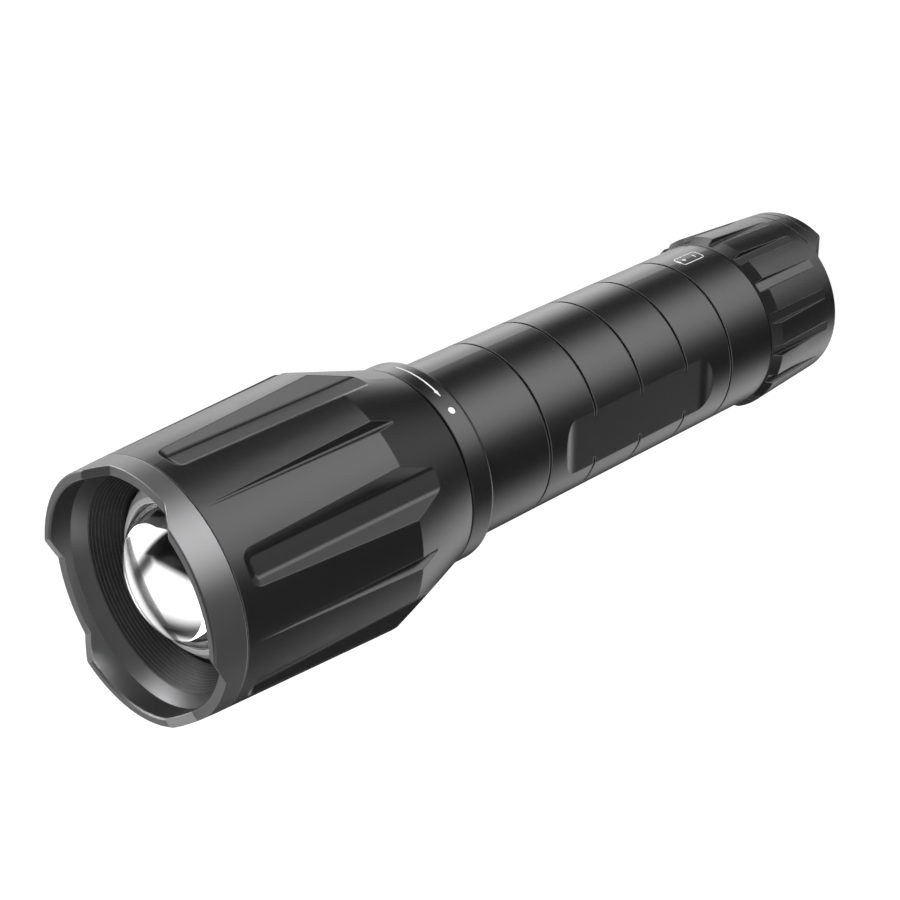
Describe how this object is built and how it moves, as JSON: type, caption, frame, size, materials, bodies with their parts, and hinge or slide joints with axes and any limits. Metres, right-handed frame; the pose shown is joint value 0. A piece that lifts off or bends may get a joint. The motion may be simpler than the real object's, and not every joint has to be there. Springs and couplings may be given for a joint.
{
  "type": "infrared illuminator",
  "caption": "Torch-shaped infrared illuminator with a fluted turning focus head, castellated bezel, convex lens, grooved tube and screw-on tail cap with a push button.",
  "frame": {"origin": "on the optical axis, in the plane of the two tail ears that it stands on", "axes": "+Z along the optical axis towards the lens, +X towards the first tail ear, -Y towards the milled flat of the tube"},
  "size_m": [0.0362, 0.0366, 0.1288],
  "materials": {
    "anodised_body": "satin black anodised",
    "anodised_ring": "satin black anodised",
    "lens_ring": "matt grey bead-blasted",
    "bare_aluminium": "machined",
    "pill_metal": "machined",
    "lens_glass": "polished",
    "seal_rubber": "matt",
    "button_rubber": "soft matt",
    "steel": "ground",
    "spring_steel": "plated",
    "washer_plastic": "matt",
    "switch_plastic": "matt",
    "board": "solder-masked",
    "chip": "moulded",
    "emitter": "clear over ceramic",
    "wire_jacket": "smooth",
    "cell_wrap": "shrink wrap"
  },
  "bodies": {
    "body": {"body_tube": "anodised_body", "index_ring": "anodised_ring", "neck": "bare_aluminium", "slip_washer": "washer_plastic", "head_seal": "seal_rubber", "tail_seal": "seal_rubber", "led_pill": "pill_metal", "led_board": "board", "led_emitter": "emitter", "led_wires": "wire_jacket", "driver_board": "board", "driver_parts": "chip", "driver_retainer": "bare_aluminium", "front_spring": "spring_steel", "battery_cell": "cell_wrap"},
    "focus_head": {"head_grip": "anodised_body", "bezel_ring": "anodised_ring"},
    "lens_carriage": {"lens_carrier": "bare_aluminium", "lens": "lens_glass", "lens_retainer": "lens_ring", "lens_seal": "seal_rubber", "drive_pins": "steel"},
    "tail_module": {"switch_holder": "bare_aluminium", "click_switch": "switch_plastic", "switch_board": "board", "tail_spring": "spring_steel"},
    "tail_screw": {"tail_cap": "anodised_body", "switch_retainer": "bare_aluminium"},
    "tail_push": {"tail_button": "button_rubber", "switch_stem": "switch_plastic"}
  },
  "joints": [
    {"name": "head_turn", "type": "hinge", "parent": "body", "child": "focus_head", "pos_m": [0, 0, 0.1], "axis": [0, 0, 1], "range_deg": [0, 150]},
    {"name": "lens_travel", "type": "slide", "parent": "body", "child": "lens_carriage", "axis": [0, 0, 1], "range_m": [-0.006, 0]},
    {"name": "tail_travel", "type": "slide", "parent": "body", "child": "tail_module", "axis": [0, 0, -1], "range_m": [0, 0.0054]},
    {"name": "tail_cap_turn", "type": "hinge", "parent": "tail_module", "child": "tail_screw", "pos_m": [0, 0, 0.01], "axis": [0, 0, -1], "range_deg": [0, 1620]},
    {"name": "button_press", "type": "slide", "parent": "tail_module", "child": "tail_push", "axis": [0, 0, 1], "range_m": [0, 0.0013], "stiffness_N_per_m": 600}
  ],
  "couplings": [
    {"joint": "head_turn", "follows": "lens_travel", "rad_per_m": -436.33},
    {"joint": "tail_cap_turn", "follows": "tail_travel", "rad_per_m": 5236}
  ]
}
